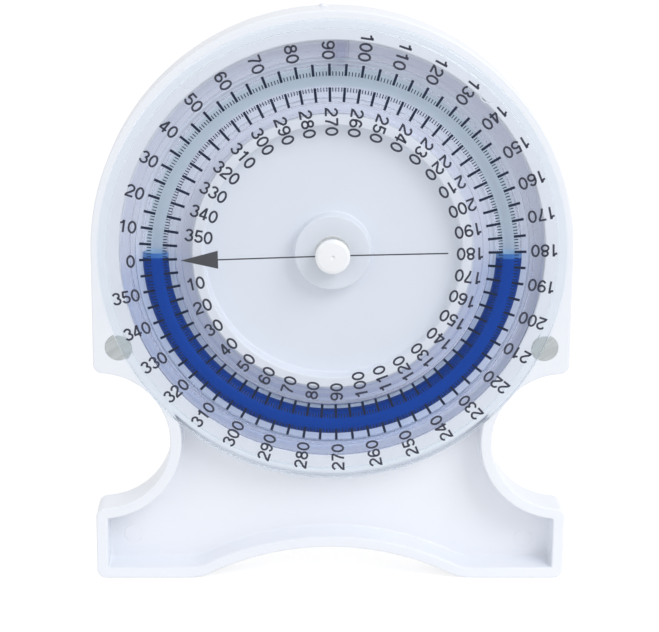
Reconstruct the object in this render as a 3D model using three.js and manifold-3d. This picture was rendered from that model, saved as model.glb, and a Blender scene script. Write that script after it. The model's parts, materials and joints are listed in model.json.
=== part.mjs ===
import * as THREE from "three";
import { mergeVertices } from "three/addons/utils/BufferGeometryUtils.js";
import Module from "manifold-3d";

// Bubble inclinometer: a clear dial with a ring of blue liquid turns on a white moulded case.
// Millimetres. X points right, Y to the back and Z up. The origin is on the ground under the
// middle of the object. Depths are counted back from the printed front face of the dial.

// General clearances and facets
const runningGap = 0.3; // between the turning dial and the case
const seatGap = 0.05; // between faces that touch
const overrun = 2; // how far a cutting tool runs past the face that it cuts
const overlap = 0.4; // how far a joined part reaches into the part that carries it
const facetError = 0.05; // how far a chord of the case's outline may cut inside its arc
const weldDistance = 0.0005;
const roundSteps = 72; // facets of the large rings
const smallSteps = 24; // facets of pins, washers and the hub

// Clear dial
const dialRadius = 49.2;
const dialPlate = 1.8;
const dialSkirtWall = 1.8;
const dialSkirtDepth = 3.2;
const dialEdgeChamfer = 0.4;

// Ring channel for the liquid, welded to the back of the dial
const landWidth = 4.8; // rim of the dial outside the channel ring
const flangeReach = 7.3; // from the channel's middle to each edge of the channel ring
const flangeThickness = 1.2;
const channelRadius = 2.7;
const channelFrontWall = 1.8;
const channelBackWall = 0.8;
const channelSideWall = 1.4;
const weldGap = 0.1;
const channelSteps = 8; // facets of half the channel's section
const fluidClearance = 0.3;
const fluidSteps = 36;
const fluidSides = 12;

// Filling hole and its plug, in a radial boss on the channel ring
const portBoreRadius = 0.9;
const portWall = 0.8;
const portTurn = THREE.MathUtils.degToRad(2); // clockwise from the top
const plugClearance = 0.1;
const plugSetback = 0.2; // from the edge of the channel ring
const portSteps = 12;

// Hub, from the dial's front face to the button's face
const bushShankRadius = 1.9;
const bushWall = 0.6; // round the screw
const bushFlangeRadius = 2.8;
const bushFlange = 0.45;
const flangeClearance = 0.1; // between the bush's flange and the dial
const boreClearance = 0.2;
const washerSpace = 0.6; // room for the spring washer behind the dial
const washerSheet = 0.16;
const washerWave = 0.12;
const washerWaves = 3;
const thrustSheet = 0.5;
const thrustRadius = 3.6; // of both washers
const screwClearance = 0.1;
const screwHeadRadius = 2.2;
const screwHead = 0.55;
const screwLength = 9;
const screwPoint = 1.2;
const screwHeadRound = 0.3;
const capRadius = 3.65;
const capWall = 0.5;
const capAir = 0.1; // inside the button, over the screw head
const capStep = 0.6; // width of the sloped shoulder round the button's face
const capStepDrop = 0.35;
const capDome = 0.12;
const capDimpleRadius = 0.35;
const capDimpleDepth = 0.25;

// Case outline
const caseMargin = 1.6; // case beyond the dial's edge
const standHeight = 24.25; // lowest point of the dial above the ground
const caseDepth = 9.4;
const caseWall = 2.4;
const caseFloor = 2.5;
const footHeight = 16;
const footCorner = 2;
const insideCorner = 0.5; // smallest corner inside the tray
const notchRadius = 15.3;
const notchSetback = 0.9; // notch centre inside the case's side
const notchCorner = 2;
const archHeight = 7.2;
const archHalfSpan = 28.1;
const archFillet = 5;

// Dial bed of the case
const drumSetback = 0.4; // drum of the bed inside the dial's edge
const bedSkin = 2;
const troughGap = 0.6; // under the channel ring
const ribWall = 2.3;
const ribGap = 1; // from the rib's top to the dial
const recessDepth = 3.7; // of the middle of the bed below the rib's top
const pedestalRadius = 8;
const bossRadius = 4.6; // screw boss on the back
const bossSetback = 1;
const pilotClearance = 0.5; // under the screw's point

// Steel pins in the shoulders, half under the dial's edge
const pinRadius = 2.85;
const pinLength = 6;
const pinFit = 0.1;
const pinEdge = 2.95; // case under the pin
const pinOutset = 0.75; // pin's middle outside the dial's edge
const pinChamfer = 0.25;

// Moulding nub on top of the case
const nubRadius = 0.9;
const nubProud = 0.5;
const nubOffset = 2; // left of the middle
const nubSetback = 2.9; // from the back face
const nubSteps = 12;

// Depths that follow
const channelDepth = channelFrontWall + channelRadius;
const channelBack = channelDepth + channelRadius + channelBackWall;
const landDepth = dialSkirtDepth + runningGap;
const caseBack = landDepth + caseDepth;
const thrustFront = dialPlate + washerSpace;
const thrustBack = thrustFront + thrustSheet;
const pedestalDepth = thrustBack + seatGap;
const ribDepth = dialPlate + ribGap;
const recessFloor = ribDepth + recessDepth;
const troughFloor = channelBack + troughGap;
const troughBack = troughFloor + bedSkin;
const recessBack = recessFloor + bedSkin;
const flangeFront = -(flangeClearance + bushFlange);
const headBack = flangeFront - seatGap;
const headFront = headBack - screwHead;
const capInside = headFront - capAir;
const capFront = capInside - capWall;
const screwTip = headBack + screwLength;

// Radii and places that follow
const flangeOuter = dialRadius - landWidth;
const channelMiddle = flangeOuter - flangeReach;
const flangeInner = channelMiddle - flangeReach;
const bedRadius = flangeOuter + runningGap;
const ribOuter = flangeInner - runningGap;
const ribInner = ribOuter - ribWall;
const drumRadius = dialRadius - drumSetback;
const backPocketRadius = drumRadius - caseWall;
const caseHalfWidth = dialRadius + caseMargin;
const axisHeight = dialRadius + standHeight;
const archRadius = (archHalfSpan ** 2 + archHeight ** 2) / (2 * archHeight);
const notchX = caseHalfWidth - notchSetback;
const notchZ = footHeight + notchRadius;
const shoulderZ = notchZ + notchRadius;
const pinZ = shoulderZ + pinEdge + pinRadius;
const pinX = Math.sqrt((dialRadius + pinOutset) ** 2 - (axisHeight - pinZ) ** 2);
const screwRadius = bushShankRadius - bushWall - screwClearance;
const dialBore = bushShankRadius + boreClearance;
const dialFrontY = -(caseBack + capFront) / 2;

const wasm = await Module();
wasm.setup();

// A closed geometry as a solid that can be joined and cut.
function solidOf(geometry) {
  const loose = geometry.index ? geometry.toNonIndexed() : geometry;
  const bare = new THREE.BufferGeometry();
  bare.setAttribute("position", loose.getAttribute("position"));
  const welded = mergeVertices(bare, weldDistance);
  return new wasm.Manifold(
    new wasm.Mesh({
      numProp: 3,
      vertProperties: welded.getAttribute("position").array,
      triVerts: new Uint32Array(welded.index.array),
    }),
  );
}

// A joined and cut solid as a geometry.
function geometryOf(solid) {
  const { vertProperties, triVerts, numProp } = solid.getMesh();
  const corners = new Float32Array((vertProperties.length / numProp) * 3);
  for (let i = 0; i < corners.length / 3; i++) {
    corners.set(vertProperties.subarray(i * numProp, i * numProp + 3), i * 3);
  }
  const geometry = new THREE.BufferGeometry();
  geometry.setAttribute("position", new THREE.BufferAttribute(corners, 3));
  geometry.setIndex(new THREE.BufferAttribute(triVerts, 1));
  return geometry;
}

// A body turned about the hub's axis. Each point is a radius and a depth, and the profile runs
// outwards along the front, back along the rim and inwards along the rear.
function turned(points, steps = roundSteps) {
  return new THREE.LatheGeometry(
    points.map(([radius, depth]) => new THREE.Vector2(radius, depth)),
    steps,
  );
}

// A turned body without a middle: its profile closes on itself.
function turnedRing(points, steps = roundSteps) {
  return turned([...points, points[0]], steps);
}

// A plain round bar along the hub's axis.
function bar(radius, front, back, steps) {
  const points = [[0, front], [radius, front], [radius, back], [0, back]];
  return turned(points, steps);
}

// A ring with a round section: the hollow of the channel, or the liquid in it.
function ringSection(radius, sides) {
  const points = [];
  for (let i = 0; i < sides; i++) {
    const angle = (i / sides) * 2 * Math.PI;
    points.push([
      channelMiddle + radius * Math.cos(angle),
      channelDepth + radius * Math.sin(angle),
    ]);
  }
  return points;
}

// Points of an arc, with as many chords as the facet error asks for.
function arc(centreX, centreZ, radius, from, to) {
  const chord = 2 * Math.acos(Math.max(1 - facetError / radius, Math.SQRT1_2));
  const steps = Math.max(2, Math.ceil(Math.abs(to - from) / chord));
  const points = [];
  for (let i = 0; i <= steps; i++) {
    const angle = from + ((to - from) * i) / steps;
    points.push([
      centreX + radius * Math.cos(angle),
      centreZ + radius * Math.sin(angle),
    ]);
  }
  return points;
}

// The case's outline, drawn in by an inset for the tray's wall. It is made of arcs that meet
// smoothly: arch, foot, notch, shoulder and the round top, then the same on the other side.
function caseOutline(inset) {
  const archZ = archHeight - archRadius;
  const filletX = Math.sqrt((archRadius + archFillet) ** 2 - (archFillet - archZ) ** 2);
  const archEnd = Math.atan2(archFillet - archZ, filletX);
  const foot = Math.max(footCorner - inset, insideCorner);
  const footX = caseHalfWidth - inset - foot;
  const corner = Math.max(notchCorner - inset, insideCorner);
  const cornerX = caseHalfWidth - inset - corner;
  const cornerRise = Math.sqrt((notchRadius + inset + corner) ** 2 - (cornerX - notchX) ** 2);
  const cornerEnd = Math.atan2(cornerRise, notchX - cornerX);
  const right = [
    ...arc(0, archZ, archRadius + inset, Math.PI / 2, archEnd),
    ...arc(filletX, archFillet, archFillet - inset, archEnd + Math.PI, 1.5 * Math.PI),
    ...arc(footX, inset + foot, foot, -Math.PI / 2, 0),
    ...arc(cornerX, notchZ - cornerRise, corner, 0, cornerEnd),
    ...arc(notchX, notchZ, notchRadius + inset, Math.PI + cornerEnd, Math.PI - cornerEnd),
    ...arc(cornerX, notchZ + cornerRise, corner, -cornerEnd, 0),
    ...arc(0, axisHeight, caseHalfWidth - inset, 0, Math.PI / 2),
  ];
  const left = right.slice(1, -1).reverse().map(([x, z]) => [-x, z]);
  const corners = [...right, ...left].map(([x, z]) => new THREE.Vector2(x, z));
  const apart = (point, i) => i === 0 || point.distanceTo(corners[i - 1]) > weldDistance;
  return new THREE.Shape(corners.filter(apart));
}

// A flat shape of X and Z, given thickness between two depths.
function plate(shape, front, back) {
  const geometry = new THREE.ExtrudeGeometry(shape, { depth: back - front, bevelEnabled: false });
  geometry.rotateX(Math.PI / 2);
  geometry.translate(0, back, 0);
  return geometry;
}

// The same geometry on the hub's axis, or at another place of the case.
function placed(geometry, x, z) {
  return geometry.translate(x, 0, z);
}

function onAxis(geometry) {
  return placed(geometry, 0, axisHeight);
}

// The stepped bed that the dial turns over: pedestal, recess, rib and trough in front, and the
// screw boss in the hollow back.
function dialBed() {
  const pilotRadius = screwRadius + screwClearance;
  const pilotBottom = screwTip + pilotClearance;
  return turned([
    [0, pilotBottom],
    [pilotRadius, pilotBottom],
    [pilotRadius, pedestalDepth],
    [pedestalRadius, pedestalDepth],
    [pedestalRadius, recessFloor],
    [ribInner, recessFloor],
    [ribInner, ribDepth],
    [ribOuter, ribDepth],
    [ribOuter, troughFloor],
    [bedRadius + overlap, troughFloor],
    [bedRadius + overlap, troughBack],
    [ribInner, troughBack],
    [ribInner, recessBack],
    [bossRadius, recessBack],
    [bossRadius, caseBack - bossSetback],
    [0, caseBack - bossSetback],
  ]);
}

// The tray in the lower part of the case, open to the front and ending at the drum.
function tray() {
  const pocket = solidOf(plate(caseOutline(caseWall), landDepth - overrun, caseBack - caseFloor));
  const drum = solidOf(onAxis(bar(drumRadius, landDepth - 2 * overrun, caseBack)));
  const above = new THREE.BoxGeometry(2 * caseHalfWidth, 2 * caseBack, 2 * axisHeight);
  above.translate(0, caseBack, shoulderZ + axisHeight);
  return pocket.subtract(drum).subtract(solidOf(above));
}

function bodyShell() {
  let shell = solidOf(plate(caseOutline(0), landDepth, caseBack)).subtract(tray());
  shell = shell.subtract(solidOf(onAxis(bar(bedRadius, landDepth - overrun, troughBack))));
  const backPocket = bar(backPocketRadius, troughBack, caseBack + overrun);
  shell = shell.subtract(solidOf(onAxis(backPocket)));
  shell = shell.add(solidOf(onAxis(dialBed())));
  for (const side of [-1, 1]) {
    const hole = bar(pinRadius + pinFit, landDepth - overrun, landDepth + pinLength, smallSteps);
    shell = shell.subtract(solidOf(placed(hole, side * pinX, pinZ)));
  }
  return geometryOf(shell.add(solidOf(nub())));
}

// A short round stub that stands on the top of the case near its back.
function nub() {
  const foot = axisHeight + caseHalfWidth - caseWall / 2;
  const height = nubProud + caseWall / 2;
  const geometry = new THREE.CylinderGeometry(nubRadius, nubRadius, height, nubSteps);
  geometry.rotateX(Math.PI / 2);
  return geometry.translate(-nubOffset, caseBack - nubSetback, foot + height / 2);
}

// Clear disc with a skirt at its edge and a thick band that holds the front half of the channel.
function dialFace() {
  const bandInner = channelMiddle - channelRadius - channelSideWall;
  const bandOuter = channelMiddle + channelRadius + channelSideWall;
  const groove = [];
  for (let i = 0; i <= channelSteps; i++) {
    const angle = (i / channelSteps) * Math.PI;
    groove.push([
      channelMiddle + channelRadius * Math.cos(angle),
      channelDepth - channelRadius * Math.sin(angle),
    ]);
  }
  return turnedRing([
    [dialBore, 0],
    [dialRadius - dialEdgeChamfer, 0],
    [dialRadius, dialEdgeChamfer],
    [dialRadius, dialSkirtDepth],
    [dialRadius - dialSkirtWall, dialSkirtDepth],
    [dialRadius - dialSkirtWall, dialPlate],
    [bandOuter, dialPlate],
    [bandOuter, channelDepth],
    ...groove,
    [bandInner, channelDepth],
    [bandInner, dialPlate],
    [dialBore, dialPlate],
  ]);
}

// Where the filling hole runs: outwards from the channel at the top of the ring.
function radially(geometry, reach) {
  geometry.rotateX(Math.PI / 2);
  const depth = channelDepth + weldGap + portBoreRadius + portWall;
  return geometry.translate(0, depth, reach).rotateY(portTurn);
}

function radialBar(radius, inner, outer) {
  const geometry = new THREE.CylinderGeometry(radius, radius, outer - inner, portSteps);
  return radially(geometry, (inner + outer) / 2);
}

// Clear ring with the rear half of the channel, closed round below, and the filling boss.
function channelRing() {
  const front = channelDepth + weldGap;
  const shellRadius = channelRadius + channelBackWall;
  const flangeBack = front + flangeThickness;
  const bend = Math.asin((flangeBack - channelDepth) / shellRadius);
  const shell = [];
  for (let i = 0; i <= channelSteps; i++) {
    const angle = bend + (i / channelSteps) * (Math.PI - 2 * bend);
    shell.push([
      channelMiddle + shellRadius * Math.cos(angle),
      channelDepth + shellRadius * Math.sin(angle),
    ]);
  }
  const outside = turnedRing([
    [flangeInner, front],
    [flangeOuter, front],
    [flangeOuter, flangeBack],
    ...shell,
    [flangeInner, flangeBack],
  ]);
  const bossOuter = flangeOuter - plugSetback;
  const boss = radialBar(portBoreRadius + portWall, channelMiddle + channelRadius, bossOuter);
  const bore = radialBar(portBoreRadius, channelMiddle, flangeOuter + overrun);
  const channel = turnedRing(ringSection(channelRadius, 2 * channelSteps));
  let ring = solidOf(outside).add(solidOf(boss));
  ring = ring.subtract(solidOf(channel)).subtract(solidOf(bore));
  return geometryOf(ring);
}

function fillPlug() {
  const inner = channelMiddle + channelRadius;
  return radialBar(portBoreRadius - plugClearance, inner, flangeOuter - plugSetback);
}

// The liquid fills the lower half of the channel, up to the height of the hub.
function blueFluid() {
  const section = ringSection(channelRadius - fluidClearance, fluidSides);
  const positions = [];
  for (let step = 0; step <= fluidSteps; step++) {
    const angle = Math.PI + (step / fluidSteps) * Math.PI;
    for (const [radius, depth] of section) {
      positions.push(radius * Math.cos(angle), depth, radius * Math.sin(angle));
    }
  }
  const faces = [];
  const at = (step, side) => step * fluidSides + (side % fluidSides);
  for (let step = 0; step < fluidSteps; step++) {
    for (let side = 0; side < fluidSides; side++) {
      faces.push(at(step, side), at(step, side + 1), at(step + 1, side + 1));
      faces.push(at(step, side), at(step + 1, side + 1), at(step + 1, side));
    }
  }
  for (let side = 1; side < fluidSides - 1; side++) {
    faces.push(at(0, 0), at(0, side + 1), at(0, side));
    faces.push(at(fluidSteps, 0), at(fluidSteps, side), at(fluidSteps, side + 1));
  }
  const geometry = new THREE.BufferGeometry();
  geometry.setAttribute("position", new THREE.Float32BufferAttribute(positions, 3));
  geometry.setIndex(faces);
  return geometry;
}

function hubBush() {
  const screwHole = bushShankRadius - bushWall;
  const points = [
    [screwHole, flangeFront],
    [bushFlangeRadius, flangeFront],
    [bushFlangeRadius, flangeFront + bushFlange],
    [bushShankRadius, flangeFront + bushFlange],
    [bushShankRadius, pedestalDepth - seatGap],
    [screwHole, pedestalDepth - seatGap],
  ];
  return turnedRing(points, smallSteps);
}

// Thin spring washer, bent into waves round its circle, that presses the dial forwards.
function waveWasher() {
  const front = dialPlate + (washerSpace - washerSheet) / 2;
  const back = front + washerSheet;
  const points = [[dialBore, front], [thrustRadius, front], [thrustRadius, back], [dialBore, back]];
  const geometry = turnedRing(points, smallSteps);
  const corners = geometry.getAttribute("position");
  for (let i = 0; i < corners.count; i++) {
    const angle = Math.atan2(corners.getZ(i), corners.getX(i));
    corners.setY(i, corners.getY(i) + washerWave * Math.cos(washerWaves * angle));
  }
  return geometry;
}

function thrustWasher() {
  const points = [
    [dialBore, thrustFront],
    [thrustRadius, thrustFront],
    [thrustRadius, thrustBack],
    [dialBore, thrustBack],
  ];
  return turnedRing(points, smallSteps);
}

function pivotScrew() {
  const points = [
    [0, headFront],
    [screwHeadRadius - screwHeadRound, headFront],
    [screwHeadRadius, headFront + screwHeadRound],
    [screwHeadRadius, headBack],
    [screwRadius, headBack],
    [screwRadius, screwTip - screwPoint],
    [0, screwTip],
  ];
  return turned(points, smallSteps);
}

// White button: a cup with a sloped shoulder, a slightly domed face and a dimple in the middle.
function hubCap() {
  const rim = capRadius - capStep;
  const points = [
    [0, capFront + capDimpleDepth],
    [capDimpleRadius, capFront + capDimpleDepth],
    [capDimpleRadius, capFront],
    [rim, capFront + capDome],
    [capRadius, capFront + capDome + capStepDrop],
    [capRadius, -runningGap],
    [capRadius - capWall, -runningGap],
    [capRadius - capWall, capInside],
    [0, capInside],
  ];
  return turned(points, smallSteps);
}

function glidePin() {
  const points = [
    [0, landDepth],
    [pinRadius - pinChamfer, landDepth],
    [pinRadius, landDepth + pinChamfer],
    [pinRadius, landDepth + pinLength - seatGap],
    [0, landDepth + pinLength - seatGap],
  ];
  return turned(points, smallSteps);
}

const finishes = {
  whitePlastic: { color: 0xf3f5f8, roughness: 0.35, metalness: 0 },
  glossWhite: { color: 0xf8f9fa, roughness: 0.15, metalness: 0 },
  clearPlastic: { color: 0xdfe6ee, roughness: 0.08, metalness: 0, transparent: true, opacity: 0.35 },
  blueLiquid: { color: 0x1f46a0, roughness: 0.1, metalness: 0 },
  bluePlug: { color: 0x9fb4d8, roughness: 0.3, metalness: 0 },
  brushedSteel: { color: 0xb9bfbb, roughness: 0.4, metalness: 1 },
  springSteel: { color: 0x9a9ea2, roughness: 0.3, metalness: 1 },
  nylon: { color: 0xe9e6da, roughness: 0.5, metalness: 0 },
};

function piece(name, geometry, finish) {
  const mesh = new THREE.Mesh(geometry, new THREE.MeshStandardMaterial(finishes[finish]));
  mesh.name = name;
  return mesh;
}

// Everything that turns about the hub or sits on it is built round the hub's axis.
const hub = new THREE.Group();
hub.position.set(0, dialFrontY, axisHeight);
hub.add(
  piece("dial_face", dialFace(), "clearPlastic"),
  piece("channel_ring", channelRing(), "clearPlastic"),
  piece("fill_plug", fillPlug(), "bluePlug"),
  piece("blue_fluid", blueFluid(), "blueLiquid"),
  piece("hub_bush", hubBush(), "nylon"),
  piece("wave_washer", waveWasher(), "springSteel"),
  piece("thrust_washer", thrustWasher(), "nylon"),
  piece("pivot_screw", pivotScrew(), "springSteel"),
  piece("hub_cap", hubCap(), "glossWhite"),
);

// The case and the pins pressed into it.
const housing = new THREE.Group();
housing.position.set(0, dialFrontY, 0);
housing.add(piece("body_shell", bodyShell(), "whitePlastic"));
for (const [name, side] of [["glide_pin_left", -1], ["glide_pin_right", 1]]) {
  const pin = piece(name, glidePin(), "brushedSteel");
  pin.position.set(side * pinX, 0, pinZ);
  housing.add(pin);
}

const inclinometer = new THREE.Group();
inclinometer.add(housing, hub);

export default inclinometer;
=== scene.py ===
"""Looks of a bubble inclinometer, built round its packed solids.

Metres. X points right, Y to the back and Z up. Depths are counted back from the printed front
face of the dial.
"""

import json
import math

import bmesh
import bpy
from bpy.props import FloatProperty, FloatVectorProperty, PointerProperty
from mathutils import Matrix, Vector


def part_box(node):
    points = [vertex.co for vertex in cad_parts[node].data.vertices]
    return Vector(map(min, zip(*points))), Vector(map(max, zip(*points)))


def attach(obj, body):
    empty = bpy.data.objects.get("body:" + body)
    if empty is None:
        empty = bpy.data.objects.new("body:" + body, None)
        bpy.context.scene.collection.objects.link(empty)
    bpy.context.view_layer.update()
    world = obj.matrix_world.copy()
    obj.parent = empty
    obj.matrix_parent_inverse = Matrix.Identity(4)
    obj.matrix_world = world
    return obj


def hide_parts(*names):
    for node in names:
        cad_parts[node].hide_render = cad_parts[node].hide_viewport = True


bl_info = {
    "name": "Bubble inclinometer",
    "version": (1, 0, 0),
    "blender": (4, 5, 0),
    "location": "3D View > Sidebar > Inclinometer",
    "description": "Builds a clear degree dial with a ring of blue liquid on a white moulded case",
    "category": "Object",
}

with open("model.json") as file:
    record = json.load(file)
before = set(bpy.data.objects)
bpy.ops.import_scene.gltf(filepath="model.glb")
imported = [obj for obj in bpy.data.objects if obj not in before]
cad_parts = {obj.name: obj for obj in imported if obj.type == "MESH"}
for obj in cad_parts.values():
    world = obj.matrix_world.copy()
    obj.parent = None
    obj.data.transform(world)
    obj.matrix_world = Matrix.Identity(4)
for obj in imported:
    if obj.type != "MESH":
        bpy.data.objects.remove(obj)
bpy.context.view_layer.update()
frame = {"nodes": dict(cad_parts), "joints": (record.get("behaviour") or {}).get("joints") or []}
hub_place = Vector(frame["joints"][0]["pos_m"])
dial_low, dial_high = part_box("dial_face")
ring_low, ring_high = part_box("channel_ring")
shell_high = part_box("body_shell")[1]
pin_low, pin_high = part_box("glide_pin_right")
cap_low, cap_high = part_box("hub_cap")

FRONT = dial_low.y
AXIS = (hub_place.x, hub_place.z)
PIN_MIDDLE = ((pin_low.x + pin_high.x) / 2, (pin_low.z + pin_high.z) / 2)

# Places on the case: the nub's in X and depth, the ejectors' marks in X and Z
NUB_PLACE = (-0.0021, 0.010)
LAND_MARKS = ((-0.0301, 0.1099), (0.0322, 0.1072))
FLOOR_MARKS = ((-0.0434, 0.0078), (0.0425, 0.0067))

# Flats round each round shape
DIAL_FLATS = 200
BED_FLATS = 160
BUTTON_FLATS = 72
PIN_FLATS = 56
HOLE_FLATS = 48
LIQUID_FLATS = 44
MARK_FLATS = 40
STUB_FLATS = 28
NUB_FLATS = 20

# Steps along each arc
ARCH_STEPS = 30
FILLET_STEPS = 8
CORNER_STEPS = 6
NOTCH_STEPS = 44
CROWN_STEPS = 64
TRAY_NOTCH_STEPS = 32
DRUM_STEPS = 40
CHANNEL_STEPS = 24
LIQUID_STEPS = 130

# The liquid's ends: how far each ring lies up the meniscus, its size in the channel, and the
# angle to the first whole ring
MENISCUS = ((0.0, 0.0), (-0.2, 0.55), (0.0, 0.8), (0.45, 0.93), (1.0, 1.0))
MENISCUS_END = 0.03

# Index of refraction of the polished plastic, of its bonded walls and of the liquid's skin
CLEAR_INDEX = 1.49
BONDED_INDEX = 1.12
LIQUID_INDEX = 1.15

# Y of the direction where the room's front starts to fade, and where it is gone
ROOM_FRONT = (-0.7, -0.1)

# Least cosine of half a bend that is drawn with a sharp corner
SHARPEST_BEND = 0.5


def number(name, default, description, **limits):
    """A number that a user may change."""
    return FloatProperty(name=name, default=default, description=description, **limits)


def numbers(name, default, description, **limits):
    """A row of numbers that a user may change."""
    return FloatVectorProperty(
        name=name, default=default, description=description, size=len(default), **limits
    )


def length(name, default, description):
    """A size in metres."""
    limits = {"min": 0.0, "precision": 5, "unit": "LENGTH", "subtype": "DISTANCE"}
    return number(name, default, description, **limits)


def degrees(name, default, description):
    """An angle, whose default is in degrees."""
    return number(name, math.radians(default), description, subtype="ANGLE")


def share(name, default, description):
    """A part of one."""
    return number(name, default, description, min=0.0, max=1.0, subtype="FACTOR")


def power(name, default, description):
    """A lamp's power in watts."""
    return number(name, default, description, min=0.0, unit="POWER")


def colour(name, default, description):
    """A colour."""
    return numbers(name, default, description, min=0.0, max=1.0, subtype="COLOR")


def offset(name, default, description):
    """A shift or a place, in metres."""
    limits = {"precision": 5, "unit": "LENGTH", "subtype": "TRANSLATION"}
    return numbers(name, default, description, **limits)


class CaseSizes(bpy.types.PropertyGroup):
    """Sizes of the moulded case."""

    half_width: length("Half width", shell_high.x, "From the middle to the side")
    land: length("Land depth", pin_low.y - FRONT, "Front rim of the case")
    back: length("Back depth", shell_high.y - FRONT, "Rear face of the case")
    wall: length("Wall", 0.0024, "Wall round the tray")
    tray_floor: length("Tray floor depth", 0.0104, "Front of the tray's floor")
    foot_height: length("Foot height", 0.016, "Top of the feet above the ground")
    foot_corner: length("Foot corner", 0.002, "Rounding of the foot's outline")
    inside_corner: length("Inside corner", 0.0005, "Smallest corner in the tray")
    notch_radius: length("Notch radius", 0.0153, "Round notch of the waist")
    notch_setback: length("Notch setback", 0.0009, "Notch's middle inside the side")
    notch_corner: length("Notch corner", 0.002, "Corner beside the notch")
    arch_height: length("Arch height", 0.0072, "Top of the arch above the ground")
    arch_half_span: length("Arch half span", 0.0281, "Middle to the arch's end")
    arch_fillet: length("Arch fillet", 0.012, "Rounding at the arch's ends")
    drum: length("Drum radius", 0.0488, "Round wall over the tray")
    bed: length("Bed radius", 0.0447, "Round hollow behind the dial")
    trough: length("Trough depth", 0.0086, "Floor behind the channel ring")
    rib_outer: length("Rib outer radius", 0.0295, "Outside of the round rib")
    rib_inner: length("Rib inner radius", 0.0272, "Inside of the round rib")
    rib_top: length("Rib depth", 0.0028, "Top of the round rib")
    recess: length("Recess depth", 0.0065, "Floor inside the rib")
    skin: length("Bed skin", 0.002, "Thickness of the bed")
    pedestal: length("Pedestal radius", 0.008, "Raised seat of the hub")
    pedestal_top: length("Pedestal depth", 0.00295, "Front of the hub's seat")
    pilot: length("Pilot radius", 0.0013, "Hole for the hub's screw")
    boss: length("Boss radius", 0.0046, "Screw boss on the back")
    boss_setback: length("Boss setback", 0.001, "Boss inside the rear face")
    pin_hole: length("Pin hole radius", 0.00287, "Holes for the steel pins")
    front_edge: length("Front edge", 0.00035, "Rounding of the front edges")
    back_edge: length("Back edge", 0.0005, "Rounding of the rear edges")
    root_fillet: length("Root fillet", 0.0005, "Rounding where walls meet floors")
    draft: length("Draft", 0.00012, "Lean of the tray's walls over their height")
    eject_radius: length("Ejector mark radius", 0.0021, "Round marks of the mould")
    eject_step: length("Ejector mark depth", 0.00006, "How deep the round marks are")
    nub_radius: length("Nub radius", 0.0008, "Moulding nub on the top")


class DialSizes(bpy.types.PropertyGroup):
    """Sizes of the clear dial, its channel and the liquid."""

    radius: length("Dial radius", dial_high.x, "Clear dial")
    plate: length("Plate", 0.0018, "Thickness of the dial")
    skirt_wall: length("Skirt wall", 0.0018, "Rim behind the dial's edge")
    skirt_depth: length("Skirt depth", 0.0032, "Rear of the rim")
    edge: length("Edge rounding", 0.0004, "Rounding of the dial's edge")
    bore: length("Bore", 0.0021, "Hole for the hub's bush")
    channel_middle: length("Channel middle", 0.0371, "Radius of the channel's middle")
    channel_radius: length("Channel radius", 0.0027, "Round section of the channel")
    channel_depth: length("Channel depth", 0.0045, "Depth of the channel's middle")
    channel_wall: length("Channel side wall", 0.0014, "Clear wall beside the groove")
    cover: length("Cover", 0.0008, "Clear wall behind the channel")
    flange_inner: length("Ring inner radius", 0.0298, "Inside of the channel ring")
    flange_outer: length("Ring outer radius", ring_high.x, "Outside of the channel ring")
    flange_front: length("Ring front depth", ring_low.y - FRONT, "Front of the ring")
    flange_thick: length("Ring thickness", 0.0012, "Flat part of the channel ring")
    rim_front: length("Ring rim depth", 0.0019, "Front of the ring's two rims")
    rim_gap: length("Ring rim gap", 0.0001, "Between the rims and the channel walls")
    tube_inner: length("Tube inner radius", 0.0344, "Where the tube's darker wall starts")
    tube_outer: length("Tube outer radius", 0.0399, "Where the tube's darker wall ends")
    plug_radius: length("Plug radius", 0.0008, "Plug of the filling hole")
    plug_wall: length("Boss wall", 0.0009, "Clear wall round the plug")
    plug_outer: length("Plug reach", 0.0442, "Outer end of the plug")
    plug_depth: length("Plug depth", 0.0063, "Middle of the plug")
    plug_turn: degrees("Plug turn", 2, "Clockwise from the top")
    level: length("Liquid level", 0.0006, "Liquid below the hub's height")
    meniscus: length("Meniscus", 0.0007, "How far the liquid climbs the wall")
    wetting: length("Wetting", 0.00004, "How far the liquid sinks into the wall it wets")


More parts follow.
